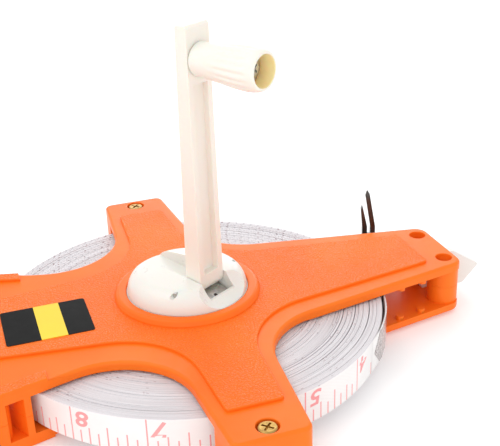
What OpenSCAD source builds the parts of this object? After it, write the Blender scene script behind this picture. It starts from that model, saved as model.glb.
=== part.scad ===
// Open-frame surveyor tape reel with a folding winding crank.
// X points along the nose, Z is the reel axis, and the origin is on that axis at the
// underside, which is the plane that the reel rests on.

/* [Tape] */
// Width of the tape
tape_width = 12.5; // [10:0.5:20]
// Thickness of the tape
tape_thickness = 0.45; // [0.3:0.05:0.6]
// Outer radius of the wound roll
roll_radius = 70; // [55:1:90]
// Radius of the drum that the tape is wound on
core_radius = 25; // [24.5:0.5:30]
// Direction in which the outer turn leaves the roll, in degrees from the nose
lead_heading = 69.8; // [64:0.2:74]
// How far the tape end slides out of the frame
lead_travel = 30; // [10:1:34]

/* [Frame] */
// Thickness of each frame plate
plate_thickness = 3.3; // [2.5:0.1:5]
// Height of the raised panels above the plate
panel_height = 1; // [0.5:0.1:2]
// Gap between the tape edges and each plate
side_gap = 0.75; // [0.5:0.05:1.5]
// How far the side arms reach past the roll
arm_overhang = 19.5; // [17:0.5:30]
// Half width of a side arm at its end
arm_half = 12.4; // [11:0.2:16]
// How far the nose reaches past the roll
nose_overhang = 34; // [30:1:44]
// Half width of the nose at its end
nose_half = 16.3; // [16:0.1:20]
// How far the handle reaches past the roll
handle_overhang = 63; // [60:1:75]
// Half width of the handle
handle_half = 51; // [48:0.5:60]
// Front-to-back width of the grip bar
grip_width = 23; // [18:1:28]
// Thickness of the walls that join the two halves
wall = 3; // [2:0.2:4]
// Gap between the roll and the walls round it
roll_clearance = 2.6; // [2.2:0.1:4]

/* [Hub] */
// Radius of the bearing bore in each plate
bore_radius = 21.9; // [20:0.1:22.5]
// Height of the collar above the upper panel
collar_height = 2.2; // [1.5:0.1:3]
// Radial running clearance of the drum in the bore
bearing_clearance = 0.08; // [0.05:0.01:0.1]
// Height of the dome above its seat on the drum
dome_height = 9.3; // [9:0.1:12]

/* [Crank] */
// Direction of the stored crank, in degrees from the nose
crank_heading = -58; // [-64:1:-50]
// Distance of the crank pin from the reel axis
pin_offset = 8.85; // [8:0.05:10]
// Height of the crank pin above the dome's seat
pin_rise = 6.2; // [6:0.1:7.5]
// Radius of the crank pin
pin_radius = 0.9; // [0.75:0.05:1.2]
// How far the knob's axis lies past the roll when the crank is stored
knob_overhang = 18.5; // [15:0.5:24]
// Width of the crank at its foot
crank_width = 12; // [10:0.5:13]
// Width of the crank at its top
crank_top_width = 11; // [9:0.5:12]
// Thickness of the crank at its foot
crank_thickness = 6.7; // [6:0.1:7]
// Length of the knob
knob_length = 26.4; // [22:0.4:27]
// Greatest radius of the knob
knob_radius = 7.15; // [6.5:0.05:8.5]
// Radius of the spindle that the knob turns on
spindle_radius = 3; // [2.4:0.1:3.4]

/* [Fasteners and claw] */
// Shank radius of the screws
screw_radius = 1.4; // [1:0.1:1.6]
// Length of the claw's long prong above its pin
claw_length = 25; // [18:0.5:32]
// Thickness of each prong of the claw
claw_thickness = 2; // [1.6:0.1:2.3]

/* [Hidden] */

$fn = 96;
through = 1;              // how far a cut runs past the face that it opens
slip = 0.05;              // clearance of a piece that is dropped into its seat
turn_gap = 0.3;           // space between surfaces that pass each other
arc_step = 7;             // degrees in one step of a rounded corner

orange = "#f4702a";
cream = "#efe9d9";
white = "#f4f1f1";
steel = "#9a9a98";
brass = "#b98a35";

// Levels, from the underside up
low_border = panel_height;
low_inner = low_border + plate_thickness;
tape_low = low_inner + side_gap;
tape_high = tape_low + tape_width;
high_inner = tape_high + side_gap;
high_border = high_inner + plate_thickness;
high_panel = high_border + panel_height;
mid = (low_inner + high_inner) / 2;
half_depth = mid - low_inner;
collar_top = high_panel + collar_height;
dome_seat = collar_top - 0.6;
dome_top = dome_seat + dome_height;

// Plan of the frame
nose_reach = roll_radius + nose_overhang;
arm_reach = roll_radius + arm_overhang;
handle_reach = roll_radius + handle_overhang;
opening_back = handle_reach - grip_width;
wall_inner = roll_radius + roll_clearance;
opening_front = wall_inner + 2 * wall;
opening_half = handle_half - 11;
nose_root_half = 29.2;
nose_root_x = 35;
nose_slope = (nose_root_half - nose_half) / (nose_reach - nose_root_x);
arm_root_front = 16.6;    // where the sides of an arm meet those of the nose and the back
arm_root_back = 16.9;
back_root_half = 27;
root_fillet = 26;
handle_fillet = 40;
handle_corner = 20;
panel_border = 3.2;       // border beside the panel on an arm
panel_root = 5;           // and where the arm meets the back
panel_fillet = 28;
nose_margin = 13;         // border at the end of each panel arm
arm_margin = 15.5;
back_margin = 8;
back_half = 18.5;
label_front = 36.4;       // distances from the reel axis
label_back = 66;
label_near = 14.5;
label_far = 8.5;
label_thickness = 0.2;
peg_radius = 1.5;
peg_height = 1.6;
guide_peg = 1.25;
guide_depth = 9;           // how far the guide reaches back from the tip of the nose
guide_peg_back = 4.5;
bead_width = 5;
bead_start = roll_radius - 14;

// Screws
screw_hole = screw_radius + 0.1;
screw_pilot = screw_radius + 0.02;
deep_well = 7.1;
deep_well_radius = 3.1;
deep_head_radius = 2.8;
arm_well = 1.8;
arm_well_radius = 3.6;
arm_head_radius = 3.2;
head_height = 1.5;
column_radius = 5.8;
boss_radius = 5.4;
nose_screw_at = [for (s = [-1, 1]) [nose_reach - 5.2, s * 10.5]];
arm_screw_at = [for (s = [-1, 1]) [0, s * (arm_reach - 5.5)]];
handle_screw_at = [for (x = [-wall_inner - 1.6, -handle_reach + 14.5], s = [-1, 1])
                   [x, s * (x > -opening_front ? opening_half - 3.5 : handle_half - 13.5)]];

// Drum, dome and crank
journal_radius = bore_radius - bearing_clearance;
drum_bore = journal_radius - 2.6;
web_thickness = 2.6;
web_top = dome_seat - 3.2;
web_bottom = web_top - web_thickness;
cap_radius = bore_radius + 2.3;
cap_pocket = 1.6;
cap_thickness = 1.2;
anchor_radius = 1.3;
anchor_at = core_radius - 2.3;
dome_radius = bore_radius - 0.3;
pin_z = dome_seat + pin_rise;
slot_half = crank_width / 2 + 0.25;
foot_radius = crank_thickness / 2;
pit_back = pin_offset - foot_radius - 2.2;
pit_front = pin_offset + foot_radius + 3.8;
ramp_slope = 5.2;
hub_screw_at = [for (a = [90, 180, 270]) [13.4 * cos(a), 13.4 * sin(a)]];
crank_length = roll_radius + knob_overhang - pin_offset;
knob_z = pin_z + crank_length;
crank_top = knob_z + 11.2;
crank_front = pin_offset + foot_radius;
crank_taper = 0.6;
knob_start = crank_front - crank_taper + turn_gap;
knob_end = knob_start + knob_length;
knob_clearance = 0.06;
spindle_end = knob_end - 6.6;
shoulder = spindle_end - 0.15;
knob_bore = min(5.5, knob_radius - 1.65);
washer_thickness = 0.8;
washer_radius = knob_bore - 0.7;

// Tape lead, clamp and claw
lead_foot = lead_heading - 90;
turn_distance = roll_radius + 1.4;
lead_distance = turn_distance - tape_thickness - 0.2;
turn_start = -44;
turn_tail = lead_travel + 10;
edge_base = nose_half + nose_slope * nose_reach;
edge_x = (lead_distance + edge_base * cos(lead_heading))
         / (sin(lead_heading) + nose_slope * cos(lead_heading));
edge_y = edge_base - nose_slope * edge_x;
lead_edge = (edge_y - lead_distance * sin(lead_foot)) / sin(lead_heading);
clamp_start = lead_edge + 1.2;
clamp_length = 6;
lead_end = clamp_start + 4.6;
claw_at = clamp_start + clamp_length + 2.2;
sheet = 0.5;
clamp_thickness = tape_thickness + 2 * sheet;
tongue_thickness = 1.1;
tongue_radius = 2.1;
claw_pin_radius = 0.8;
claw_gap = tongue_thickness / 2 + 0.1;

// ---- outlines ------------------------------------------------------------

function unit(v) = v / norm(v);

// Arc of radius r that rounds the corner at b between its neighbours a and c
function corner_arc(a, b, c, r) =
    let (u = unit(a - b), w = unit(c - b),
         half = acos(u * w) / 2,
         centre = b + unit(u + w) * r / sin(half),
         p = b + u * r / tan(half) - centre,
         q = b + w * r / tan(half) - centre,
         start = atan2(p.y, p.x),
         turn = atan2(p.x * q.y - p.y * q.x, p * q),
         steps = max(1, ceil(abs(turn) / arc_step)))
    [for (i = [0:steps]) centre + r * [cos(start + turn * i / steps),
                                       sin(start + turn * i / steps)]];

// Outline of a path of [x, y, corner radius]
function rounded(path) =
    let (n = len(path), at = [for (p = path) [p.x, p.y]])
    [for (i = [0:n - 1])
     each (path[i][2] <= 0 ? [at[i]]
           : corner_arc(at[(i + n - 1) % n], at[i], at[(i + 1) % n], path[i][2]))];

// The same anticlockwise path, moved inwards by d
function inset(path, d) =
    let (n = len(path), at = [for (p = path) [p.x, p.y]])
    [for (i = [0:n - 1])
     let (u = unit(at[i] - at[(i + n - 1) % n]), w = unit(at[(i + 1) % n] - at[i]),
          a = [-u.y, u.x], b = [-w.y, w.x],
          moved = at[i] + d * (a + b) / (1 + a * b),
          convex = u.x * w.y - u.y * w.x > 0)
     [moved.x, moved.y, convex ? max(0.5, path[i][2] - d) : path[i][2] + d]];

// A path closed with its own mirror image across the X axis
function mirrored(path) =
    concat(path, [for (i = [len(path) - 1:-1:0]) [path[i].x, -path[i].y, path[i][2]]]);

// A strip of thickness t along points with known directions
function ribbon(points, headings, t) =
    let (side = [for (h = headings) [sin(h), -cos(h)] * t / 2])
    concat([for (i = [0:len(points) - 1]) points[i] + side[i]],
           [for (i = [len(points) - 1:-1:0]) points[i] - side[i]]);

frame_path = mirrored([
    [nose_reach, nose_half, 5],
    [arm_root_front, nose_root_half + nose_slope * (nose_root_x - arm_root_front), root_fillet],
    [arm_half, arm_reach, 3],
    [-arm_half, arm_reach, 3],
    [-arm_root_back, back_root_half, root_fillet],
    [-roll_radius - 35, handle_half, handle_fillet],
    [-handle_reach, handle_half, handle_corner]]);

panel_path = mirrored([
    [nose_reach - nose_margin, nose_half - 4.1, 2],
    [arm_root_front - 4.7, nose_root_half - 4.1, panel_fillet + 2],
    [arm_half - panel_border, arm_reach - arm_margin, 1.5],
    [panel_border - arm_half, arm_reach - arm_margin, 1.5],
    [panel_root + 0.2 - arm_root_back, back_root_half - 0.2, panel_fillet],
    [-roll_radius - back_margin, back_half, 3]]);

opening_path = mirrored([
    [-opening_front, opening_half, 11],
    [-opening_back, opening_half, 11]]);

module outline(path) {
    polygon(rounded(path));
}

module opening() {
    difference() {
        outline(opening_path);
        circle(wall_inner + wall + 1);
    }
}

// ---- frame ---------------------------------------------------------------

// Plan of everything that stands between the two plates
module supports() {
    intersection() {
        outline(frame_path);
        difference() {
            union() {
                difference() {
                    outline(frame_path);
                    outline(inset(frame_path, wall));
                    translate([-roll_radius, -arm_reach]) square([2 * nose_reach, 2 * arm_reach]);
                }
                difference() {
                    outline(frame_path);
                    outline(inset(frame_path, wall));
                    square([3 * nose_reach, 2 * (roll_radius + 5)], center = true);
                }
                difference() {
                    outline(inset(opening_path, wall));
                    opening();
                }
                difference() {
                    circle(wall_inner + wall);
                    translate([-roll_radius + 8, -arm_reach]) square([2 * nose_reach, 2 * arm_reach]);
                }
                for (p = nose_screw_at) translate(p) circle(column_radius);
                for (p = concat(arm_screw_at, handle_screw_at)) translate(p) circle(boss_radius);
            }
            circle(wall_inner);
            opening();
        }
    }
}

// Guide pegs either side of the place where the tape crosses the edge of the nose
module pegs() {
    for (x = [edge_x - 6.6, edge_x + 3.2], s = [-1, 1])
        translate([x, s * (edge_base - nose_slope * x - peg_radius - 0.7), half_depth - peg_height])
            cylinder(r = peg_radius, h = peg_height + through);
}

// One half of the frame, with its joint face at Z = 0 and its plate above it
module frame_half() {
    difference() {
        union() {
            linear_extrude(half_depth + slip) supports();
            translate([0, 0, half_depth]) linear_extrude(plate_thickness) outline(frame_path);
            translate([0, 0, half_depth + plate_thickness - slip])
                linear_extrude(panel_height + slip) {
                    outline(panel_path);
                    intersection() {
                        difference() {
                            outline(frame_path);
                            outline(inset(frame_path, bead_width));
                        }
                        translate([-bead_start - handle_reach, -handle_reach])
                            square([handle_reach, 2 * handle_reach]);
                    }
                }
            pegs();
        }
        translate([0, 0, -through])
            linear_extrude(half_depth + plate_thickness + panel_height + 2 * through) opening();
        translate([0, 0, -through]) cylinder(r = bore_radius, h = 3 * half_depth);
        translate([nose_reach - guide_peg_back, 0, half_depth - through])
            cylinder(r = guide_peg + slip, h = through + peg_height + 0.1);
    }
}

module collar() {
    rotate_extrude()
        polygon(rounded([[bore_radius, high_inner + 1, 0],
                         [bore_radius + 4.4, high_inner + 1, 0],
                         [bore_radius + 4.4, high_panel + 0.4, 1.2],
                         [bore_radius + 3.4, collar_top, 1.5],
                         [bore_radius, collar_top, 0.7]]));
}

module screw_cuts(at, well, well_radius) {
    for (p = at) translate([p.x, p.y, high_border - well]) {
        cylinder(r = well_radius, h = well + panel_height + through);
        translate([0, 0, mid - high_border + well - through])
            cylinder(r = screw_hole, h = high_border - well - mid + 2 * through);
    }
}

module upper_frame() {
    color(orange) difference() {
        union() {
            translate([0, 0, mid]) frame_half();
            collar();
        }
        screw_cuts(nose_screw_at, deep_well, deep_well_radius);
        screw_cuts(handle_screw_at, deep_well, deep_well_radius);
        screw_cuts(arm_screw_at, arm_well, arm_well_radius);
    }
}

module lower_frame() {
    color(orange) difference() {
        translate([0, 0, mid]) mirror([0, 0, 1]) frame_half();
        translate([0, 0, -through]) cylinder(r = cap_radius + turn_gap, h = cap_pocket + through);
        for (p = concat(nose_screw_at, arm_screw_at, handle_screw_at))
            translate([p.x, p.y, low_border + 1.6])
                cylinder(r = screw_pilot, h = mid - low_border);
    }
}

// Cross-recessed screw with its seat at Z = 0 and its shank below
module screw(head_radius, length) {
    difference() {
        union() {
            rotate_extrude()
                polygon(rounded([[0, 0, 0], [head_radius, 0, 0],
                                 [head_radius, head_height, 0.8], [0, head_height, 0]]));
            translate([0, 0, -length]) cylinder(r = screw_radius, h = length + slip);
        }
        for (a = [45, 135]) rotate(a)
            translate([-head_radius * 0.62, -0.35, head_height - 0.9])
                cube([head_radius * 1.24, 0.7, 2]);
    }
}

module nose_screws() {
    color(steel) for (p = nose_screw_at)
        translate([p.x, p.y, high_border - deep_well])
            screw(deep_head_radius, high_border - deep_well - low_border - 1.8);
}

module arm_screws() {
    color(brass) for (p = arm_screw_at)
        translate([p.x, p.y, high_border - arm_well])
            screw(arm_head_radius, high_border - arm_well - low_border - 1.8);
}

module handle_screws() {
    color(steel) for (p = handle_screw_at)
        translate([p.x, p.y, high_border - deep_well])
            screw(deep_head_radius, high_border - deep_well - low_border - 1.8);
}

module label() {
    color("#1d1c1c") translate([0, 0, high_panel])
        linear_extrude(label_thickness)
            outline([[-label_front, label_far, 1], [-label_back, label_far, 1],
                     [-label_back, -label_near, 1], [-label_front, -label_near, 1]]);
}

// Thin pointed blade that stands between the columns of the nose and parts the mouth
module mouth_guide() {
    guide_thickness = 3.2;
    color(white) {
        rotate([90, 0, 0]) linear_extrude(guide_thickness, center = true)
            polygon(rounded([[nose_reach - guide_depth, low_inner, 0.5],
                             [nose_reach + 2.5, low_inner, 0],
                             [nose_reach + 4, low_inner - 1.2, 1],
                             [nose_reach + 9.5, low_inner - 1.2, 2],
                             [nose_reach + 16.3, mid - 1, 0.8],
                             [nose_reach + 4.2, high_inner, 2],
                             [nose_reach - guide_depth, high_inner, 0.5]]));
        translate([nose_reach - guide_peg_back, 0, low_inner - peg_height])
            cylinder(r = guide_peg, h = 2 * (half_depth + peg_height));
    }
}

// ---- reel ----------------------------------------------------------------

module drum() {
    rib = 1.6;
    color(cream) difference() {
        union() {
            rotate_extrude() difference() {
                union() {
                    translate([0, cap_pocket]) square([journal_radius, dome_seat - cap_pocket]);
                    translate([0, low_inner + turn_gap])
                        square([core_radius - slip, high_inner - low_inner - 2 * turn_gap]);
                }
                translate([-through, cap_pocket - through])
                    square([drum_bore + through, web_bottom - cap_pocket + through]);
                translate([-through, web_top])
                    square([drum_bore + through, dome_seat - web_top + through]);
            }
            translate([0, 0, cap_pocket + 3.4]) cylinder(r = 4.2, h = web_bottom - cap_pocket - 3.3);
            for (a = [45:90:315]) rotate(a + crank_heading)
                translate([3.5, -rib / 2, cap_pocket + 5.6])
                    cube([drum_bore - 3, rib, web_bottom - cap_pocket - 5.5]);
            rotate(crank_heading) for (p = hub_screw_at) translate([p.x, p.y, web_top - slip])
                cylinder(r = 3.4, h = dome_seat - web_top + slip);
        }
        rotate(crank_heading) for (p = hub_screw_at) translate([p.x, p.y, web_bottom - through])
            cylinder(r = screw_hole, h = dome_seat - web_bottom + 2 * through);
        translate([0, 0, cap_pocket]) cylinder(r = screw_pilot, h = web_bottom - cap_pocket + 1);
        translate([-anchor_at, 0, tape_low])
            cylinder(r = anchor_radius + slip, h = high_inner);
        translate([-core_radius - through, -0.6, tape_low])
            cube([core_radius + through - anchor_at, 1.2, high_inner]);
    }
}

// Pin that pinches the inner end of the tape in the drum's slot
module tape_anchor() {
    color(steel) translate([-anchor_at, 0, tape_low])
        cylinder(r = anchor_radius, h = tape_width);
}

// Cavity of the dome, in the crank's own directions: X is the stored direction
module dome_cuts() {
    scoop = 14.8;
    reach = dome_radius + through;
    slot_floor = pin_z - foot_radius - turn_gap;
    translate([pit_back, -slot_half, dome_seat - through])
        cube([pit_front - pit_back, 2 * slot_half, dome_height + 2 * through]);
    rotate([90, 0, 0]) linear_extrude(2 * slot_half, center = true)
        polygon([[reach, slot_floor],
                 [pit_back, slot_floor],
                 [-reach, slot_floor + (reach + pit_back) * tan(ramp_slope)],
                 [-reach, dome_top + through],
                 [reach, dome_top + through]]);
    translate([pit_front + 10.3, 0, dome_seat + 14.1]) {
        rotate([90, 0, 0]) cylinder(r = scoop, h = 8, center = true);
        for (s = [-4, 4]) translate([0, s, 0]) sphere(scoop);
    }
    translate([pin_offset, 0, pin_z]) rotate([90, 0, 0])
        cylinder(r = pin_radius + 0.02, h = 3 * dome_radius, center = true, $fn = 48);
    for (p = hub_screw_at) translate([p.x, p.y, dome_seat - through])
        cylinder(r = screw_pilot, h = 3.6 + through, $fn = 48);
}

module crank_hub() {
    color(cream) rotate(crank_heading) difference() {
        rotate_extrude()
            polygon(rounded([[0, dome_seat, 0],
                             [dome_radius, dome_seat, 0.3],
                             [dome_radius - 0.9, dome_top - 2.4, 7],
                             [0, dome_top, 0]]));
        dome_cuts();
    }
}

module hub_screws() {
    color(steel) rotate(crank_heading) for (p = hub_screw_at)
        translate([p.x, p.y, web_bottom]) mirror([0, 0, 1])
            screw(2.6, dome_seat - web_bottom + 3.2);
}

module bottom_cap() {
    spigot = drum_bore - slip;
    color(cream) difference() {
        union() {
            translate([0, 0, cap_pocket - cap_thickness]) cylinder(r = cap_radius, h = cap_thickness);
            difference() {
                translate([0, 0, cap_pocket - slip]) cylinder(r = spigot, h = 3 + slip);
                translate([0, 0, cap_pocket]) cylinder(r = spigot - 1.8, h = 3 + through);
            }
            translate([0, 0, cap_pocket - slip]) cylinder(r = 4.2, h = 3.4 + slip);
        }
        translate([0, 0, -through]) cylinder(r = screw_hole, h = 9);
        translate([0, 0, -through]) cylinder(r = 3.4, h = cap_pocket + through + 1.2);
    }
}

module cap_screw() {
    color(steel) translate([0, 0, cap_pocket + 1.2]) mirror([0, 0, 1]) screw(2.8, 9);
}

module tape_roll() {
    color(white) translate([0, 0, tape_low]) difference() {
        cylinder(r = roll_radius, h = tape_width, $fn = 180);
        translate([0, 0, -through]) cylinder(r = core_radius, h = tape_width + 2 * through);
    }
}

// ---- crank ---------------------------------------------------------------

module crank_pin() {
    half_length = sqrt(pow(dome_radius - 3.6, 2) - pow(pin_offset, 2));
    color(steel) rotate(crank_heading) translate([pin_offset, 0, pin_z]) rotate([90, 0, 0])
        cylinder(r = pin_radius, h = 2 * half_length, center = true, $fn = 48);
}

// Steel leaf under the crank's foot that holds the crank where it is put
module crank_spring() {
    leaf = 0.4;
    back = pit_back + turn_gap;
    front = pit_front - turn_gap;
    low = pin_z - foot_radius - 2.6;
    crown = pin_z - foot_radius - 0.2;
    color(steel) rotate(crank_heading) difference() {
        rotate([90, 0, 0]) linear_extrude(2 * slot_half - 0.8, center = true)
            polygon([[back, web_top], [back, low], [pin_offset - 1.2, crown],
                     [pin_offset + 1.2, crown], [front, low], [front, web_top],
                     [front - leaf, web_top], [front - leaf, low - leaf],
                     [pin_offset + 1.1, crown - leaf], [pin_offset - 1.1, crown - leaf],
                     [back + leaf, low - leaf], [back + leaf, web_top]]);
        translate([front - 2, 0, web_top]) cylinder(r = 0.7, h = dome_height, $fn = 32);
    }
}

// Side view of the crank arm, in the crank's own directions
module crank_side() {
    back = pin_offset - foot_radius;
    difference() {
        union() {
            polygon([[back, pin_z], [crank_front, pin_z],
                     [crank_front - crank_taper, crank_top - 0.8],
                     [crank_front - crank_taper - 0.8, crank_top],
                     [back + 2.1, crank_top], [back + 1.3, crank_top - 0.8]]);
            translate([pin_offset, pin_z]) circle(foot_radius);
        }
        translate([pin_offset, pin_z]) circle(pin_radius + 0.05, $fn = 48);
    }
}

module crank_arm() {
    rib = 2.5;
    channel = 2;
    channel_low = pin_z + foot_radius + 0.4;
    channel_high = knob_z - 8.1;
    color(cream) rotate(crank_heading) difference() {
        union() {
            intersection() {
                rotate([90, 0, 0]) linear_extrude(crank_width, center = true) crank_side();
                rotate([90, 0, 90]) linear_extrude(2 * crank_front)
                    polygon([[-crank_width / 2, pin_z - 2 * foot_radius],
                             [crank_width / 2, pin_z - 2 * foot_radius],
                             [crank_width / 2, pin_z], [crank_top_width / 2, crank_top],
                             [-crank_top_width / 2, crank_top], [-crank_width / 2, pin_z]]);
            }
            translate([pin_offset, 0, knob_z]) rotate([0, 90, 0])
                cylinder(r = spindle_radius, h = spindle_end - pin_offset);
        }
        translate([crank_front - channel - crank_taper, rib - crank_width / 2, channel_low])
            cube([2 * channel, crank_width - 2 * rib, channel_high - channel_low]);
        translate([spindle_end - 11, 0, knob_z]) rotate([0, 90, 0])
            cylinder(r = screw_pilot, h = 12, $fn = 48);
    }
}

module knob() {
    color(cream) rotate(crank_heading) translate([0, 0, knob_z]) rotate([0, 90, 0])
        rotate_extrude() difference() {
            polygon(rounded([[0, knob_start, 0],
                             [knob_radius - 1.4, knob_start, 0.4],
                             [knob_radius - 1.5, knob_start + 10, 30],
                             [knob_radius, knob_end - 5.5, 7],
                             [knob_radius - 0.3, knob_end, 2],
                             [0, knob_end, 0]]));
            translate([-through, knob_start - through])
                square([spindle_radius + knob_clearance + through, knob_length]);
            translate([-through, shoulder]) square([knob_bore + through, knob_length]);
        }
}

module knob_washer() {
    color(steel) rotate(crank_heading) translate([spindle_end, 0, knob_z]) rotate([0, 90, 0])
        difference() {
            cylinder(r = washer_radius, h = washer_thickness);
            translate([0, 0, -through]) cylinder(r = screw_hole, h = 3, $fn = 48);
        }
}

module knob_screw() {
    color(steel) rotate(crank_heading)
        translate([spindle_end + washer_thickness, 0, knob_z]) rotate([0, 90, 0])
            screw(min(2.9, washer_radius), 10);
}

// ---- tape end ------------------------------------------------------------

// Places what is drawn along the tape: X along the lead, Y across it, away from the axis
module along_lead(distance, start) {
    rotate(lead_foot) translate([distance, 0, mid]) rotate(90) translate([start, 0, 0])
        mirror([0, 1, 0]) children();
}

// Outer turn of the tape, which lifts off the roll and runs straight under the nose
module tape_turn() {
    first = roll_radius + turn_gap + tape_thickness / 2;
    steps = 14;
    angles = [for (i = [0:steps]) turn_start + (lead_foot - turn_start) * i / steps];
    curve = [for (i = [0:steps])
             let (grow = (1 - cos(180 * i / steps)) / 2, r = first + (turn_distance - first) * grow)
             r * [cos(angles[i]), sin(angles[i])]];
    foot = turn_distance * [cos(lead_foot), sin(lead_foot)];
    tail = foot + turn_tail * [cos(lead_heading), sin(lead_heading)];
    color(white) translate([0, 0, tape_low]) linear_extrude(tape_width)
        polygon(ribbon(concat(curve, [tail]),
                       concat([for (a = angles) a + 90], [lead_heading]), tape_thickness));
}

// Straight length of tape that slides out with the end clamp
module tape_lead() {
    start = 3;
    color(white) along_lead(lead_distance, 0) difference() {
        translate([start, -tape_thickness / 2, -tape_width / 2])
            cube([lead_end - start, tape_thickness, tape_width]);
        for (z = [-3.6, 3.6]) translate([clamp_start + 1.8, 0, z]) rotate([90, 0, 0])
            cylinder(r = 0.65, h = 3, center = true, $fn = 32);
    }
}

module end_clamp() {
    height = tape_width + 2 * sheet + 0.2;
    color(steel) along_lead(lead_distance, 0) difference() {
        union() {
            translate([clamp_start, -clamp_thickness / 2 - slip, -height / 2])
                cube([clamp_length, clamp_thickness + 2 * slip, height]);
            rotate([90, 0, 0]) linear_extrude(tongue_thickness, center = true) {
                translate([claw_at, 0]) circle(tongue_radius);
                translate([clamp_start, -tongue_radius])
                    square([claw_at - clamp_start, 2 * tongue_radius]);
            }
        }
        translate([clamp_start - through, -tape_thickness / 2 - slip, -tape_width / 2 - slip])
            cube([lead_end - clamp_start + through + slip, tape_thickness + 2 * slip,
                  tape_width + 2 * slip]);
        for (z = [-3.6, 3.6]) translate([clamp_start + 1.8, 0, z]) rotate([90, 0, 0])
            cylinder(r = 0.65, h = 3, center = true, $fn = 32);
        translate([claw_at, 0, 0]) rotate([90, 0, 0])
            cylinder(r = claw_pin_radius + 0.02, h = 3, center = true, $fn = 32);
    }
}

module end_rivets() {
    reach = clamp_thickness / 2 + slip;
    color(steel) along_lead(lead_distance, 0)
        for (z = [-3.6, 3.6]) translate([clamp_start + 1.8, 0, z]) rotate([90, 0, 0]) {
            cylinder(r = 0.6, h = 2 * reach + 0.1, center = true, $fn = 32);
            for (s = [0, 1]) mirror([0, 0, s]) translate([0, 0, reach])
                cylinder(r = 1.1, h = 0.35, $fn = 32);
        }
}

module claw_pin() {
    half_length = claw_gap + claw_thickness;
    color(steel) along_lead(lead_distance, claw_at) rotate([90, 0, 0]) {
        cylinder(r = claw_pin_radius, h = 2 * half_length + 0.2, center = true, $fn = 32);
        for (s = [0, 1]) mirror([0, 0, s]) translate([0, 0, half_length + 0.1])
            cylinder(r = 1.3, h = 0.5, $fn = 32);
    }
}

// Forked claw: a long leaning prong outside the tongue and a short one inside it
module end_claw() {
    inner = claw_gap;
    outer = claw_gap + claw_thickness;
    heel = 1.9;
    knee = claw_length * 0.36;
    lean = 0.9;
    short_prong = claw_length * 0.72;
    color("#55504c") along_lead(lead_distance, claw_at) difference() {
        intersection() {
            rotate([90, 0, 90]) linear_extrude(4 * heel, center = true) {
                polygon([[inner, -heel], [outer, -heel], [outer, knee],
                         [lean - inner, claw_length - 2], [-lean, claw_length],
                         [-lean - inner, claw_length - 2.4], [inner, knee]]);
                polygon([[-inner, -heel], [-inner, knee], [-outer, short_prong],
                         [-outer - inner, short_prong - 1.4], [-outer, knee], [-outer, -heel]]);
                translate([-outer, tongue_radius + turn_gap]) square([2 * outer, 1.6]);
            }
            rotate([90, 0, 0]) linear_extrude(4 * outer, center = true) {
                circle(heel);
                polygon([[-heel, 0], [heel, 0], [1.6, knee], [1.2, claw_length - 4],
                         [0.2, claw_length], [-0.2, claw_length], [-1.2, claw_length - 4],
                         [-1.6, knee]]);
            }
        }
        rotate([90, 0, 0]) cylinder(r = claw_pin_radius + 0.05, h = 4 * outer, center = true, $fn = 32);
    }
}

upper_frame();
lower_frame();
nose_screws();
arm_screws();
handle_screws();
label();
mouth_guide();
drum();
tape_anchor();
crank_hub();
hub_screws();
bottom_cap();
cap_screw();
tape_roll();
crank_pin();
crank_spring();
crank_arm();
knob();
knob_washer();
knob_screw();
tape_turn();
tape_lead();
end_clamp();
end_rivets();
claw_pin();
end_claw();
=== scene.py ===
"""Looks of the surveyor tape reel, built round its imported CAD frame.

Shapes are written in millimetres in the frame's own axes and scaled to metres as they are made.
"""
import math
import random

import bmesh
import bpy
from mathutils import Matrix, Vector


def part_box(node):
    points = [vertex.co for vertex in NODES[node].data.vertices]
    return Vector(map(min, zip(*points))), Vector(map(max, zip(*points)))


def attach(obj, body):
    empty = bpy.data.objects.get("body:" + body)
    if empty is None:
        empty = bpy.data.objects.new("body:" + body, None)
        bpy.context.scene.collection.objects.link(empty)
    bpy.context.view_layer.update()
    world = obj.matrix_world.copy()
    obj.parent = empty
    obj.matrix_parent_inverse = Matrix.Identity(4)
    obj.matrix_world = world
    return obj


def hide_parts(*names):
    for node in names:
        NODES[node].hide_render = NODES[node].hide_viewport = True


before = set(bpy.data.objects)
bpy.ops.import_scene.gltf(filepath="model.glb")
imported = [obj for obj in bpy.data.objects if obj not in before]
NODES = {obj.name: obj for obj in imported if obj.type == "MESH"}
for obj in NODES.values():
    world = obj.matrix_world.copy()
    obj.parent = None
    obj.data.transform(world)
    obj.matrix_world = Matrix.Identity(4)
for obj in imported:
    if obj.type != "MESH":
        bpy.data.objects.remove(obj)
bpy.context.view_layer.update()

MM = 0.001
TAU = 2 * math.pi


def edges(node):
    """Lowest and highest corner of a CAD node, in millimetres."""
    low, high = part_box(node)
    return low / MM, high / MM


def reach_along(node, way):
    """Lowest and highest place of a CAD node along a direction, in millimetres."""
    places = [v.co.dot(way) / MM for v in NODES[node].data.vertices]
    return min(places), max(places)


# ---- sizes in millimetres, worked out from the frame where it holds them -----

roll_low, roll_high = edges("tape_roll")
ROLL = roll_high.x
TAPE_LOW, TAPE_HIGH = roll_low.z, roll_high.z
CORE = 25.0                        # radius that the tape is wound on
TURN = 0.45                        # thickness of one turn
INCH = 25.4                        # between two numbered lines of the print
PRINT_START = math.radians(-54)    # direction of the first numbered line
CRANK = math.radians(-58)          # direction that the knob points in
LEAD = math.radians(69.8)          # direction that the tape leaves in
LEAVES = math.radians(-44)         # where the outer turn starts to lift off the roll

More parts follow.
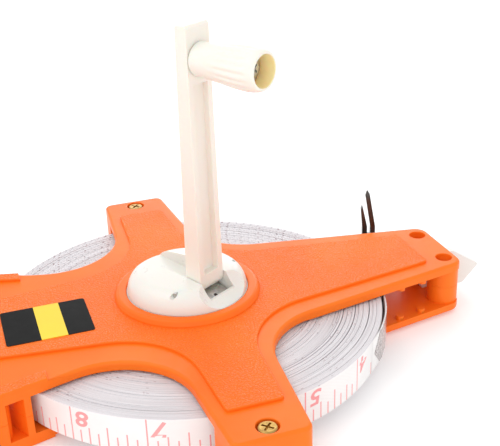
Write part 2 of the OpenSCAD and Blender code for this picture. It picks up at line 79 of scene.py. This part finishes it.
PANEL_TOP = edges("label")[0].z
PANEL_STEP = 1                     # height of the raised panels
PLATE = 3.3                        # thickness of the plates that the panels stand on
COLLAR = 27.5                      # everything within this radius belongs to the collar
NOSE_FROM = 55                     # X at which the open nose starts
BEAD_START = -56                   # X at which the smooth bead along the back starts
BACK_PANEL = 23                    # half width of the grained panel there
STRIP = -77.6                      # X of the narrow strip between panel and hand opening
SCREWS = [(98.8, -10.5), (98.8, 10.5), (0, -84), (0, 84),
          (-74.2, -36.5), (-74.2, 36.5), (-118.5, -37.5), (-118.5, 37.5)]
WELL = 4.3                         # radius round a screw within which edges are eased less

# widths that the frame's edges are rounded by
BORDER_ROUND = 1.15
NARROW_ROUND = 0.3
PANEL_ROUND = 0.42
INNER_ROUND = 0.4
JOINT_ROUND = 0.16


# ---- node materials ----------------------------------------------------------


class Look:
    """A node material: calls on it add nodes, and take numbers or other nodes' sockets."""

    def __init__(self, name, **uniform):
        self.material = bpy.data.materials.new(name)
        self.material.use_nodes = True
        self.tree = self.material.node_tree
        self.surface = self.tree.nodes["Principled BSDF"]
        for key, value in uniform.items():
            self.put(self.surface, key.replace("_", " ").title().replace("Ior", "IOR"), value)
        self.place = self.add("ShaderNodeTexCoord").outputs["Object"]

    def put(self, node, key, value):
        socket = node.inputs[key]
        if isinstance(value, bpy.types.NodeSocket):
            self.tree.links.new(value, socket)
        elif socket.type == "RGBA" and len(value) == 3:
            socket.default_value = (*value, 1)
        else:
            socket.default_value = value

    def add(self, kind, inputs=None, **settings):
        node = self.tree.nodes.new(kind)
        for key, value in settings.items():
            setattr(node, key, value)
        for key, value in (inputs or {}).items():
            self.put(node, key, value)
        return node

    def math(self, operation, *values):
        node = self.add("ShaderNodeMath", operation=operation)
        for i, value in enumerate(values):
            self.put(node, i, value)
        return node.outputs[0]

    def noise(self, per_mm, detail=2.0, rough=0.5, distortion=0.0):
        inputs = {"Vector": self.place, "Scale": per_mm / MM, "Detail": detail,
                  "Roughness": rough, "Distortion": distortion}
        return self.add("ShaderNodeTexNoise", inputs).outputs[0]

    def cells(self, per_mm, feature="F1", at=None, output="Distance"):
        node = self.add("ShaderNodeTexVoronoi", {"Vector": at or self.place, "Scale": per_mm / MM},
                        feature=feature)
        return node.outputs[output]

    def span(self, value, low, high, to_low=0.0, to_high=1.0):
        inputs = {"Value": value, "From Min": low, "From Max": high,
                  "To Min": to_low, "To Max": to_high}
        return self.add("ShaderNodeMapRange", inputs).outputs[0]

    def blend(self, share, a, b):
        node = self.add("ShaderNodeMix", data_type="RGBA")
        self.put(node, 0, share)
        self.put(node, 6, a)
        self.put(node, 7, b)
        return node.outputs[2]

    def bump(self, height, depth_mm, under=None):
        inputs = {"Height": height, "Distance": depth_mm * MM, "Strength": 1.0}
        if under:
            inputs["Normal"] = under
        return self.add("ShaderNodeBump", inputs).outputs[0]

    def finish(self, colour=None, rough=None, normal=None, metal=None):
        for key, value in (("Base Color", colour), ("Roughness", rough), ("Normal", normal),
                           ("Metallic", metal)):
            if value is not None:
                self.put(self.surface, key, value)
        return self.material


def moulded(name, colour, shade, rough=0.3, grain=0.0, peel=0.006, **uniform):
    """Moulded plastic: slow colour drift, fine orange peel, and pressed leather grain if asked,
    whose creases get painted shade.
    """
    look = Look(name, **uniform)
    drift = look.noise(0.03, 3)
    fleck = look.noise(1.6, 4, 0.7)
    worn = look.noise(0.25, 5, 0.65, distortion=0.4)
    tint = look.blend(look.span(drift, 0.3, 0.7), shade, colour)
    tint = look.blend(look.span(fleck, 0.5, 0.9, 0, 0.06), tint, shade)
    rough_at = look.span(worn, 0.25, 0.75, rough - 0.06, rough + 0.08)
    normal = look.bump(look.noise(0.9, 3, 0.55), peel)
    if grain:
        shift = look.add("ShaderNodeTexNoise", {"Vector": look.place, "Scale": 0.8 / MM})
        scaled = look.add("ShaderNodeVectorMath", {0: shift.outputs[1], "Scale": 0.5 * MM},
                          operation="SCALE")
        warped = look.add("ShaderNodeVectorMath", {0: look.place, 1: scaled.outputs[0]},
                          operation="ADD")
        crease = look.cells(0.85, "DISTANCE_TO_EDGE", warped.outputs[0])
        pillow = look.span(crease, 0.0, 0.22)
        normal = look.bump(pillow, grain, under=normal)
        rough_at = look.math("ADD", rough_at, look.span(pillow, 0, 1, 0.1, 0.02))
        # painted shade: the grain's creases are painted darker, towards the shade colour
        tint = look.blend(look.span(pillow, 0, 1, 0.16, 0), tint, shade)
    return look.finish(tint, rough_at, normal)


def metal(name, colour, dark, rough=0.3, scratch=0.02, spots=0.0):
    """Handled metal: clouded tarnish, fine scratches, and dark spots if asked."""
    look = Look(name, metallic=1.0)
    cloud = look.noise(0.35, 4, 0.6)
    fine = look.noise(4.0, 3, 0.7)
    tint = look.blend(look.span(cloud, 0.35, 0.75, 0, 0.7), colour, dark)
    if spots:
        tint = look.blend(look.span(fine, 0.55, 0.75, 0, spots), tint, dark)
    rough_at = look.span(cloud, 0.3, 0.7, rough - 0.07, rough + 0.12)
    return look.finish(tint, rough_at, look.bump(fine, scratch))


ORANGE = (0.98, 0.19, 0.012)
ORANGE_SHADE = (0.95, 0.15, 0.008)
frame_smooth = moulded("frame_smooth", ORANGE, ORANGE_SHADE, 0.36, specular_ior_level=0.2)
frame_grained = moulded("frame_grained", ORANGE, ORANGE_SHADE, 0.42, grain=0.16,
                        specular_ior_level=0.25)
hub_white = moulded("hub_white", (0.81, 0.79, 0.74), (0.79, 0.765, 0.71), 0.3,
                    subsurface_weight=0.15, subsurface_scale=0.004)
crank_cream = moulded("crank_cream", (0.86, 0.83, 0.76), (0.84, 0.80, 0.715), 0.36,
                      subsurface_weight=0.2, subsurface_scale=0.005)
guide_white = moulded("guide_white", (0.82, 0.80, 0.76), (0.78, 0.755, 0.71), 0.35)
steel_bright = metal("steel_bright", (0.62, 0.61, 0.59), (0.33, 0.32, 0.30), 0.28)
steel_grey = metal("steel_grey", (0.42, 0.42, 0.42), (0.24, 0.24, 0.25), 0.38, spots=0.5)
claw_dark = metal("claw_dark", (0.10, 0.095, 0.09), (0.045, 0.042, 0.04), 0.36, 0.03, 0.6)
brass_old = metal("brass_old", (0.60, 0.38, 0.12), (0.22, 0.13, 0.04), 0.32, 0.04, 0.7)
label_black = moulded("label_black", (0.01, 0.01, 0.01), (0.015, 0.015, 0.015), 0.5,
                      specular_ior_level=0.05)
# the inside of the knob's bore is a brighter, yellower copy of the cream plastic: painted glow for
# light passing through the plastic
knob_inside_painted_glow = moulded("knob_inside_painted_glow", (0.97, 0.84, 0.46), (0.96, 0.80, 0.40), 0.4,
                      subsurface_weight=0.3, subsurface_scale=0.004)
label_yellow = moulded("label_yellow", (0.93, 0.66, 0.01), (0.86, 0.58, 0.01), 0.4)


# ---- tape materials ----------------------------------------------------------


def winding(look):
    """Tape length from the core to a point of the roll's side, and its place across its turn."""
    axes = look.add("ShaderNodeSeparateXYZ", {"Vector": look.place})
    x, y = axes.outputs["X"], axes.outputs["Y"]
    share = look.math("ADD", look.math("DIVIDE", look.math("ARCTAN2", y, x), TAU), 0.5)
    radius = look.math("SQRT", look.math("ADD", look.math("MULTIPLY", x, x),
                                         look.math("MULTIPLY", y, y)))
    wound = look.math("SUBTRACT", look.math("DIVIDE", radius, MM), CORE)
    turns = look.math("SUBTRACT", look.math("DIVIDE", wound, TURN), share)
    whole = look.math("FLOOR", turns)
    across = look.math("SUBTRACT", turns, whole)
    reach = look.math("ADD", look.math("MULTIPLY", look.math("ADD", whole, share), TURN), CORE)
    length = look.math("MULTIPLY", look.math("SUBTRACT", look.math("MULTIPLY", reach, reach),
                                             CORE * CORE), math.pi / TURN)
    return length, across


def dots(look, length, across, pitch, half_mm, low, high):
    """1 where a printed line of that pitch reaches the tape's edge."""
    near = look.math("ABSOLUTE", look.math("SUBTRACT", look.math("FRACT", look.math(
        "DIVIDE", length, pitch)), 0.5))
    along = look.math("GREATER_THAN", near, 0.5 - half_mm / pitch)
    inside = look.math("MULTIPLY", look.math("GREATER_THAN", across, low),
                       look.math("LESS_THAN", across, high))
    return look.math("MULTIPLY", along, inside)


def wound_edges():
    """Edges of the wound turns, with painted shade along the seams between turns, and the ends of
    the printed lines as rows of dots.
    """
    look = Look("wound_edges")
    length, across = winding(look)
    strip = look.add("ShaderNodeTexNoise", {"W": look.math("DIVIDE", length, 55.0), "Scale": 1.0,
                                            "Detail": 2.0}, noise_dimensions="1D").outputs[0]
    tint = look.blend(look.span(strip, 0.3, 0.7), (0.70, 0.675, 0.70), (0.84, 0.815, 0.84))
    # seam is 1 at the seams between turns: it paints them darker (painted shade in the gaps) and
    # sinks them in the bump
    seam = look.math("SUBTRACT", 1.0, look.span(look.math("ABSOLUTE", look.math(
        "SUBTRACT", across, 0.5)), 0.30, 0.5, 1, 0))
    tint = look.blend(look.math("MULTIPLY", seam, 0.45), tint, (0.36, 0.335, 0.36))
    worn = look.math("GREATER_THAN", look.cells(0.11, output="Color"), 0.62)
    back = look.span(look.add("ShaderNodeSeparateXYZ", {"Vector": look.place}).outputs["Y"],
                     0.0, 0.3 * ROLL * MM)
    inch = look.math("MULTIPLY", dots(look, length, across, INCH, 0.42, 0.15, 0.9),
                     look.math("MAXIMUM", look.math("MULTIPLY", worn, 0.5), back))
    eighth = look.math("MULTIPLY", dots(look, length, across, INCH / 8, 0.3, 0.2, 0.85), back)
    tint = look.blend(look.math("MULTIPLY", eighth, 0.5), tint, (0.25, 0.22, 0.27))
    tint = look.blend(look.math("MULTIPLY", inch, 0.8), tint, (0.2, 0.07, 0.09))
    fuzz = look.noise(3.0, 3, 0.7)
    tint = look.blend(look.span(fuzz, 0.5, 0.8, 0, 0.25), tint, (0.60, 0.57, 0.60))
    lift = look.math("ADD", look.math("MULTIPLY", seam, -0.8), look.math("MULTIPLY", strip, 0.6))
    normal = look.bump(fuzz, 0.02, under=look.bump(lift, 0.11))
    return look.finish(tint, look.span(fuzz, 0.2, 0.8, 0.5, 0.62), normal)


def tape_face(name, colour, shade):
    """Coated cloth: fine weave under a satin coat."""
    thread = 0.55
    look = Look(name, coat_weight=0.12)
    axes = look.add("ShaderNodeSeparateXYZ", {"Vector": look.place})
    angle = look.math("ARCTAN2", axes.outputs["Y"], axes.outputs["X"])
    warp = look.math("SINE", look.math("MULTIPLY", angle, ROLL / thread * math.pi))
    weft = look.math("SINE", look.math("MULTIPLY", axes.outputs["Z"], TAU / (thread * MM)))
    weave = look.math("MULTIPLY", warp, weft)
    stain = look.noise(0.09, 4, 0.6)
    tint = look.blend(look.span(stain, 0.3, 0.75), colour, shade)
    return look.finish(tint, look.span(stain, 0.3, 0.7, 0.36, 0.48), look.bump(weave, 0.02))


def film():
    """Clear reinforcement film over the tape's end, grey with fine sparkle."""
    look = Look("end_film", coat_weight=0.5)
    speck = look.cells(2.2, output="Color")
    tone = look.span(speck, 0.2, 0.9)
    tint = look.blend(tone, (0.20, 0.17, 0.165), (0.66, 0.61, 0.60))
    shine = look.span(tone, 0.5, 1, 0, 0.5)
    return look.finish(tint, 0.3, look.bump(look.noise(2.2, 2), 0.08), shine)


tape_edges = wound_edges()
tape_white = tape_face("tape_white", (0.90, 0.88, 0.87), (0.86, 0.84, 0.83))
tape_print = moulded("tape_print", (0.88, 0.30, 0.31), (0.87, 0.38, 0.38), 0.45)
tape_film = film()


# ---- camera and light --------------------------------------------------------


def add_object(name, data):
    made = bpy.data.objects.new(name, data)
    bpy.context.scene.collection.objects.link(made)
    return made


def camera():
    """Camera at the photograph's viewing angle."""
    data = bpy.data.cameras.new("camera")
    data.sensor_width = 36
    data.lens = 68.63
    data.clip_start = 0.01
    eye = add_object("camera", data)
    eye.matrix_world = (
        Matrix.Translation((-73.44 * MM, -294.56 * MM, 190.22 * MM))
        @ Matrix.Rotation(math.radians(-18.42), 4, "Z")
        @ Matrix.Rotation(math.radians(64.93), 4, "X")
        @ Matrix.Rotation(math.radians(-1.9), 4, "Z")
    )
    bpy.context.scene.camera = eye


def softbox(name, place, size, power, height=None):
    """Area light that looks at the reel; place and size are in metres."""
    data = bpy.data.lights.new(name, "AREA")
    data.shape = "RECTANGLE"
    data.size, data.size_y = size, height or size
    data.energy = power
    lamp = add_object(name, data)
    lamp.location = place
    aim = Vector((0, 0, 0.02)) - Vector(place)
    lamp.rotation_euler = aim.to_track_quat("-Z", "Y").to_euler()
    lamp.visible_camera = False


def studio():
    """White surroundings, four soft lights and a pale floor just under the reel."""
    world = bpy.data.worlds.new("studio")
    bpy.context.scene.world = world
    world.use_nodes = True
    background = world.node_tree.nodes["Background"]
    background.inputs["Color"].default_value = (1, 1, 1, 1)
    background.inputs["Strength"].default_value = 0.97
    bpy.context.scene.view_settings.view_transform = "Standard"
    softbox("key", (-0.5, 0.1, 0.95), 0.7, 2.2)
    softbox("fill", (-0.35, -0.95, 0.45), 0.9, 1.4)
    softbox("back", (0.35, 0.85, 0.55), 0.45, 1.0)
    softbox("rim", (0.32, 0.95, 0.2), 0.9, 1.5, 0.16)
    half, level = 3.0, -0.0003
    corners = [(x * half, y * half, level) for x, y in ((-1, -1), (1, -1), (1, 1), (-1, 1))]
    floor = bpy.data.meshes.new("floor")
    floor.from_pydata(corners, [], [(0, 1, 2, 3)])
    ground = add_object("floor", floor)
    look = Look("floor", roughness=0.7, emission_color=(1, 1, 1), emission_strength=0.2)
    tint = look.blend(look.noise(0.004, 2), (0.86, 0.86, 0.865), (0.9, 0.9, 0.9))
    floor.materials.append(look.finish(tint))


# ---- mesh helpers ------------------------------------------------------------


def piece(name, points, faces, which, materials, body, node, sharp=None):
    """A mesh of points in millimetres that rides on a body and is shown for a CAD node.

    which holds each face's place in materials. Edges sharper than sharp degrees stay crisp, and
    without sharp every face is flat.
    """
    mesh = bpy.data.meshes.new(name)
    mesh.from_pydata([Vector(p) * MM for p in points], [], faces)
    for material in materials:
        mesh.materials.append(material)
    mesh.polygons.foreach_set("material_index", which)
    if sharp:
        mesh.polygons.foreach_set("use_smooth", [True] * len(mesh.polygons))
    mesh.validate()
    mesh.update()
    if sharp:
        mesh.set_sharp_from_angle(angle=math.radians(sharp))
    made = add_object(name, mesh)
    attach(made, body)
    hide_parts(node)


def even_shading(shown):
    weight = shown.modifiers.new("weight", "WEIGHTED_NORMAL")
    weight.keep_sharp = True


def soften(node, width_mm, material):
    """Rounds the sharp edges of a CAD node as it is shown, and gives it its material."""
    shown = NODES[node]
    shown.data.materials.clear()
    shown.data.materials.append(material)
    merge = shown.modifiers.new("merge", "WELD")
    merge.merge_threshold = 0.002 * MM
    flat = shown.modifiers.new("flat", "DECIMATE")
    flat.decimate_type = "DISSOLVE"
    flat.angle_limit = math.radians(0.6)
    if width_mm:
        round_off = shown.modifiers.new("round_off", "BEVEL")
        round_off.width = width_mm * MM
        round_off.segments = 3
        round_off.limit_method = "ANGLE"
        round_off.angle_limit = math.radians(30)
        round_off.use_clamp_overlap = True
        round_off.miter_outer = "MITER_ARC"
    shown.data.polygons.foreach_set("use_smooth", [True] * len(shown.data.polygons))
    even_shading(shown)


# ---- frame -------------------------------------------------------------------


def solid_copy(node):
    """A CAD node as a bmesh of whole flat faces, in millimetres."""
    made = bmesh.new()
    made.from_mesh(NODES[node].data)
    bmesh.ops.scale(made, vec=(1 / MM,) * 3, verts=made.verts)
    bmesh.ops.remove_doubles(made, verts=made.verts, dist=0.003)
    bmesh.ops.dissolve_limit(made, angle_limit=math.radians(0.8), verts=made.verts,
                             edges=made.edges)
    return made


def round_edges(solid, width, segments, level, pick=lambda p: True):
    """Rounds the outer edges that lie at a level and whose middle pick() accepts."""
    chosen = []
    for edge in solid.edges:
        ends = [v.co for v in edge.verts]
        flat = all(abs(end.z - level) < 0.02 for end in ends)
        if flat and edge.is_convex and edge.calc_face_angle(0) > math.radians(40):
            if pick((ends[0] + ends[1]) / 2):
                chosen.append(edge)
    bmesh.ops.bevel(solid, geom=chosen, offset=width, offset_type="OFFSET", segments=segments,
                    profile=0.5, affect="EDGES", clamp_overlap=False, miter_outer="ARC",
                    loop_slide=False)


def is_narrow(p):
    """By a screw, or in the narrow strip, where the border has no room for its full rounding."""
    by_screw = min(math.dist(p.xy, screw) for screw in SCREWS) < WELL
    in_strip = abs(p.x - STRIP) < 2.5 and abs(p.y) < 32
    return by_screw or in_strip


def is_grained(face, panel_level):
    """Only the tops of the raised panels have grain; the bead along the back stays smooth."""
    middle = face.calc_center_median()
    on_bead = middle.x < BEAD_START and abs(middle.y) > BACK_PANEL
    return abs(middle.z - panel_level) < 0.05 and abs(face.normal.z) > 0.9 and not on_bead


def frame_half(node, name, joint, way):
    """A frame half with rounded borders, crisp panel edges, eased wells and a fine parting line."""
    panel_level = joint + way * (PANEL_TOP - joint)
    border_level = panel_level - way * PANEL_STEP
    inner_level = border_level - way * PLATE
    solid = solid_copy(node)
    round_edges(solid, BORDER_ROUND, 5, border_level, lambda p: not is_narrow(p))
    round_edges(solid, NARROW_ROUND, 3, border_level, is_narrow)
    round_edges(solid, PANEL_ROUND, 3, panel_level, lambda p: p.xy.length > COLLAR)
    round_edges(solid, INNER_ROUND, 3, inner_level, lambda p: p.x < NOSE_FROM)
    round_edges(solid, JOINT_ROUND, 2, joint)
    for face in solid.faces:
        face.material_index = 1 if is_grained(face, panel_level) else 0
        face.smooth = True
    bmesh.ops.scale(solid, vec=(MM,) * 3, verts=solid.verts)
    mesh = bpy.data.meshes.new(name)
    solid.to_mesh(mesh)
    solid.free()
    for material in (frame_smooth, frame_grained):
        mesh.materials.append(material)
    mesh.set_sharp_from_angle(angle=math.radians(35))
    made = add_object(name, mesh)
    even_shading(made)
    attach(made, "frame")
    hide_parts(node)


# ---- crank knob and label ----------------------------------------------------


def knob_profile(start, end, shoulder, widest):
    """Outer rows and inner rows of [place along the axis, radius], from the arm out and back."""
    bore, pivot, neck = widest - 1.95, 3.06, widest - 1.5
    end_round = 5.4
    body_steps, end_steps = 26, 12
    outer = [(start, pivot), (start, neck - 0.5), (start + 0.12, neck - 0.15),
             (start + 0.5, neck + 0.05)]
    for i in range(1, body_steps):
        share = i / body_steps
        swell = share * share * (3 - 2 * share)
        outer.append((start + 0.5 + share * (end - end_round - start - 0.5),
                      neck + (widest - neck) * swell))
    mouth = bore + 0.25
    for i in range(end_steps + 1):
        turn = math.radians(90 * i / end_steps)
        outer.append((end - end_round + end_round * math.sin(turn) ** 1.1,
                      mouth + (widest - mouth) * math.cos(turn) ** 0.8))
    inner = [(end - 0.15, bore + 0.08), (end - 0.6, bore), (shoulder + 0.3, bore),
             (shoulder, bore - 0.3), (shoulder, pivot)]
    return outer, inner


def knob():
    """Handle of the crank: slim by the arm, flared and fluted outside, open at its end."""
    out = Vector((math.cos(CRANK), math.sin(CRANK), 0))
    side = Vector((-math.sin(CRANK), math.cos(CRANK), 0))
    up = Vector((0, 0, 1))
    low, high = edges("knob")
    height, widest = (low.z + high.z) / 2, (high.z - low.z) / 2
    start, end = reach_along("knob", out)
    shoulder = reach_along("knob_washer", out)[0] - 0.15
    flutes, flute_depth, around = 18, 0.34, 216
    plain_neck, plain_end = 8.5, 1.6
    outer, inner = knob_profile(start, end, shoulder, widest)
    rows = []
    for k, (place, radius) in enumerate(outer + inner):
        fade_in = min(1, max(0, (place - start - plain_neck) / 5))
        fade_out = min(1, max(0, (end - plain_end - place) / 3))
        cut = flute_depth * fade_in * fade_out if k < len(outer) else 0
        row = []
        for j in range(around):
            a = TAU * j / around
            r = radius - cut * (0.5 + 0.5 * math.cos(flutes * a)) ** 1.5
            row.append(out * place + side * (r * math.cos(a)) + up * (height + r * math.sin(a)))
        rows.append(row)
    points, faces = closed_rings(rows)
    # faces of the inner rows take the brighter yellow copy, painted glow inside the bore
    which = [1 if i // around >= len(outer) else 0 for i in range(len(faces))]
    piece("fluted_knob", points, faces, which, [crank_cream, knob_inside_painted_glow], "knob", "knob",
          sharp=40)


def label():
    """Printed plate with a yellow band; its wording is left out."""
    low, high = edges("label")
    corner, steps = 1.0, 6
    band = [low.x + share * (high.x - low.x) for share in (0.39, 0.69)]
    cuts = []
    for i in range(steps + 1):
        a = math.radians(90 * i / steps)
        cuts.append((corner * (1 - math.cos(a)), corner * (1 - math.sin(a))))
    stations = [(low.x + x, y) for x, y in cuts] + [(x, 0) for x in band]
    stations += [(high.x - x, y) for x, y in reversed(cuts)]
    points, faces, which = [], [], []
    for x, y in stations:
        points += [(x, low.y + y, low.z), (x, high.y - y, low.z),
                   (x, high.y - y, high.z), (x, low.y + y, high.z)]
    for i in range(len(stations) - 1):
        a, b = 4 * i, 4 * i + 4
        colour = 1 if stations[i][0] == band[0] else 0
        for j in range(4):
            k = (j + 1) % 4
            faces.append((a + j, b + j, b + k, a + k))
            which.append(colour)
    last = 4 * (len(stations) - 1)
    faces += [(0, 1, 2, 3), (last + 3, last + 2, last + 1, last)]
    which += [0, 0]
    piece("printed_label", points, faces, which, [label_black, label_yellow], "frame", "label")


# ---- roll --------------------------------------------------------------------


ROLL_STEPS = 288
ROLL_ANGLES = [TAU * i / ROLL_STEPS for i in range(ROLL_STEPS)]
RIM_LIP = 0.12


def at(radius, angle, z):
    return (radius * math.cos(angle), radius * math.sin(angle), z)


def ring(radius, z):
    return [at(radius, a, z) for a in ROLL_ANGLES]


def closed_rings(rows):
    """Faces between rings of the same length, each ring and the list of rings closed."""
    count, many = len(rows), len(rows[0])
    points = [p for row in rows for p in row]
    faces = []
    for i in range(count):
        below, above = i * many, (i + 1) % count * many
        for j in range(many):
            k = (j + 1) % many
            faces.append((below + j, above + j, above + k, below + k))
    return points, faces


def roll_bands(draw):
    """Radii at which the layers part, from the rim in, with the gap's width and depth."""
    parts = [(ROLL - 4.6, 0.16, 1.0)]
    radius = ROLL - 1.9
    while radius > CORE + 1.2:
        if abs(radius - parts[0][0]) > 0.5:
            parts.append((radius, draw.uniform(0.03, 0.085), draw.uniform(0.15, 0.7)))
        radius -= draw.uniform(0.6, 1.7)
    return sorted(parts, reverse=True)


def fan(angle):
    """How far the layers stand apart, most between the near arm and the nose."""
    middle, spread = math.radians(-46), math.radians(30)
    from_middle = math.remainder(angle - middle, TAU) / spread
    return math.exp(-from_middle * from_middle)


def gap_rings(drawn, radius, gap, depth, drop, sink):
    """Four rings of a groove: its inner side is drop and its outer side sink below the top."""
    phase, swing, bend, part = drawn
    rings = [[], [], [], []]
    for a in ROLL_ANGLES:
        open_by = gap * (0.6 + 0.4 * math.sin(2 * a + bend)) * (1 + part * fan(a))
        middle = radius + 0.05 * math.sin(a + bend)
        deep = TAPE_HIGH - max(drop, sink) - depth * (1 + 1.6 * fan(a))
        wave = swing * math.sin(a + phase)
        section = [(-1, TAPE_HIGH - drop + min(0, wave)), (-0.5, deep), (0.5, deep),
                   (1, TAPE_HIGH - sink + min(0, -wave))]
        for made, (side, z) in zip(rings, section):
            made.append(at(middle + side * open_by, a, z))
    return rings


def tape_roll():
    """The wound tape: a ring with grooves where its layers part, and the print on its rim."""
    draw = random.Random(7)
    rows = [ring(CORE, TAPE_LOW), ring(CORE, TAPE_HIGH - 0.3)]
    sink = 0.2
    for radius, gap, depth in reversed(roll_bands(draw)):
        drop, phase, swing = sink, draw.uniform(0, TAU), draw.uniform(0.02, 0.09)
        sink = draw.uniform(0.02, 0.26)
        bend, part = draw.uniform(0, TAU), draw.uniform(0.5, 2.6)
        rows += gap_rings((phase, swing, bend, part), radius, gap, depth, drop, sink)
    rows += [ring(ROLL - RIM_LIP, TAPE_HIGH), ring(ROLL, TAPE_HIGH - RIM_LIP)]
    rim_row = len(rows) - 1
    rows += [ring(ROLL, TAPE_LOW + RIM_LIP), ring(ROLL - RIM_LIP, TAPE_LOW)]
    for k in range(8):
        radius = ROLL - 1.5 - 5.2 * k - 3 * draw.random()
        rows += [ring(radius + 0.1, TAPE_LOW + 0.02), ring(radius, TAPE_LOW + 0.5),
                 ring(radius - 0.1, TAPE_LOW + 0.02)]
    points, faces = closed_rings(rows)
    which = [1 if i // ROLL_STEPS == rim_row else 0 for i in range(len(faces))]
    add_print(points, faces)
    which += [2] * (len(faces) - len(which))
    piece("wound_tape", points, faces, which, [tape_edges, tape_white, tape_print], "reel",
          "tape_roll", sharp=38)


def turn_line():
    """Middle line of the outer turn: points, directions and half thicknesses, from the roll on."""
    lift, first_gap, tail = 1.4, 0.3, 39.9
    foot = LEAD - math.pi / 2
    steps, full_from = 40, 14
    line = []
    for i in range(steps + 1):
        full = min(1, i / full_from)
        grow = (1 - math.cos(math.pi * i / steps)) / 2
        half = max(0.02, TURN * full) / 2
        start = first_gap * full + 0.05 + half
        a = LEAVES + (foot - LEAVES) * i / steps
        x, y, _ = at(ROLL + start + (lift - start) * grow, a, 0)
        line.append((x, y, a + math.pi / 2, half))
    line += [(x + t * math.cos(LEAD), y + t * math.sin(LEAD), LEAD, half)
             for t in (10, 20, 30, tail)]
    return line


def outer_turn():
    """The last turn, which lifts off the roll and runs straight under the nose, with its film."""
    points, faces, which = [], [], []
    line = turn_line()
    low, high, lip = TAPE_LOW, TAPE_HIGH, 0.1
    section = [(-1, low + lip), (-0.5, low), (0.5, low), (1, low + lip),
               (1, high - lip), (0.5, high), (-0.5, high), (-1, high - lip)]
    n = len(section)
    for x, y, way, half in line:
        points += [(x + s * half * math.sin(way), y - s * half * math.cos(way), z)
                   for s, z in section]
    for i in range(len(line) - 1):
        a, b = i * n, i * n + n
        for j in range(n):
            k = (j + 1) % n
            faces.append((a + j, b + j, b + k, a + k))
            which.append(0 if j in (1, 5) else 1)
    last = n * (len(line) - 1)
    faces += [tuple(range(n)), tuple(last + j for j in reversed(range(n)))]
    which += [0, 0]
    add_film(points, faces, line)
    which += [2] * (len(faces) - len(which))
    piece("lifted_turn", points, faces, which, [tape_edges, tape_white, tape_film], "frame",
          "tape_turn", sharp=38)


def add_film(points, faces, line):
    """Film over the outer side, from a point at mid width to the end of the strip."""
    thick, sunk, margin, tip = 0.12, 0.02, 0.15, 0.2
    starts, slant = 3, 7
    shown = line[starts:]
    middle, full = (TAPE_HIGH + TAPE_LOW) / 2, (TAPE_HIGH - TAPE_LOW) / 2 - margin
    first = len(points)
    for i, (x, y, way, half) in enumerate(shown):
        wide = tip + (full - tip) * min(1, i / slant)
        for reach, z in ((half - sunk, middle - wide), (half + thick, middle - wide),
                         (half + thick, middle + wide), (half - sunk, middle + wide)):
            points.append((x + reach * math.sin(way), y - reach * math.cos(way), z))
    for i in range(len(shown) - 1):
        a, b = first + 4 * i, first + 4 * i + 4
        faces += [(a + j, b + j, b + (j + 1) % 4, a + (j + 1) % 4) for j in range(4)]
    last = first + 4 * (len(shown) - 1)
    faces += [(first, first + 1, first + 2, first + 3), (last + 3, last + 2, last + 1, last)]


def slab(points, faces, corners, caps=((0, 1, 2, 3),)):
    """Thin closed block on the roll's rim: [angle, height] corners, and the faces over them."""
    outward, inward = 0.03, 0.05
    first, n = len(points), len(corners)
    for reach in (ROLL + outward, ROLL - inward):
        points.extend(at(reach, a, z) for a, z in corners)
    rim = set()
    for cap in caps:
        faces.append(tuple(first + i for i in cap))
        faces.append(tuple(first + n + i for i in reversed(cap)))
        rim.update(zip(cap, cap[1:] + cap[:1]))
    for i, k in sorted(rim):
        if (k, i) not in rim:
            faces.append((first + i, first + n + i, first + n + k, first + k))


def digit_shape(text, height):
    """Corners and triangles of a number in plane coordinates, from the built-in letter shapes."""
    digit_share = 0.72    # height of a digit over the size of its font
    curve = bpy.data.curves.new("digit", "FONT")
    curve.body = text
    curve.size = height / digit_share
    curve.align_x = "CENTER"
    curve.resolution_u = 3
    curve.offset = 0.16
    holder = bpy.data.objects.new("digit", curve)
    mesh = holder.to_mesh()
    corners = [tuple(v.co[:2]) for v in mesh.vertices]
    triangles = [tuple(p.vertices) for p in mesh.polygons]
    holder.to_mesh_clear()
    bpy.data.objects.remove(holder)
    return corners, triangles


def add_print(points, faces):
    """Inch lines, eighth ticks and numbers, printed on the rim upside down."""
    inch, half_line = INCH / ROLL, 0.22 / ROLL
    margin, width = 0.15, TAPE_HIGH - TAPE_LOW
    low = TAPE_LOW + margin
    tall = {0: 1.0, 2: 0.5, 4: 0.62, 6: 0.5}
    digit_height, stretch, slope, drop = 5.6, 1.25, 0.15, 1.1
    for number in range(4, 21):
        line = PRINT_START - inch * (number - 4)
        for eighth in range(8):
            top = TAPE_LOW + width * tall.get(eighth, 0.38) - margin
            left, right = (line - inch * eighth / 8 + side * half_line for side in (-1, 1))
            slab(points, faces, [(left, low), (right, low), (right, top), (left, top)])
        beside = 4.4 if number < 10 else 6.4
        middle = line + beside / ROLL
        corners, triangles = digit_shape(str(number), digit_height)
        turned = [(middle - (stretch * x + slope * y) / ROLL, TAPE_HIGH - drop - y)
                  for x, y in corners]
        slab(points, faces, turned, triangles)


# ---- the whole scene ---------------------------------------------------------

camera()
studio()
tape_roll()
outer_turn()
JOINT = edges("lower_frame")[1].z
frame_half("upper_frame", "upper_shell", JOINT, 1)
frame_half("lower_frame", "lower_shell", JOINT, -1)
knob()
label()
for node in ("drum", "bottom_cap", "crank_hub"):
    soften(node, 0.25, hub_white)
soften("crank_arm", 0.5, crank_cream)
soften("mouth_guide", 0.4, guide_white)
for node in ("nose_screws", "handle_screws", "hub_screws", "cap_screw", "knob_screw", "tape_anchor",
             "crank_pin", "knob_washer"):
    soften(node, 0.1, steel_bright)
soften("crank_spring", 0.08, steel_bright)
soften("arm_screws", 0.1, brass_old)
for node in ("end_clamp", "end_rivets", "claw_pin"):
    soften(node, 0.12, steel_grey)
soften("end_claw", 0.35, claw_dark)
soften("tape_lead", 0, tape_film)
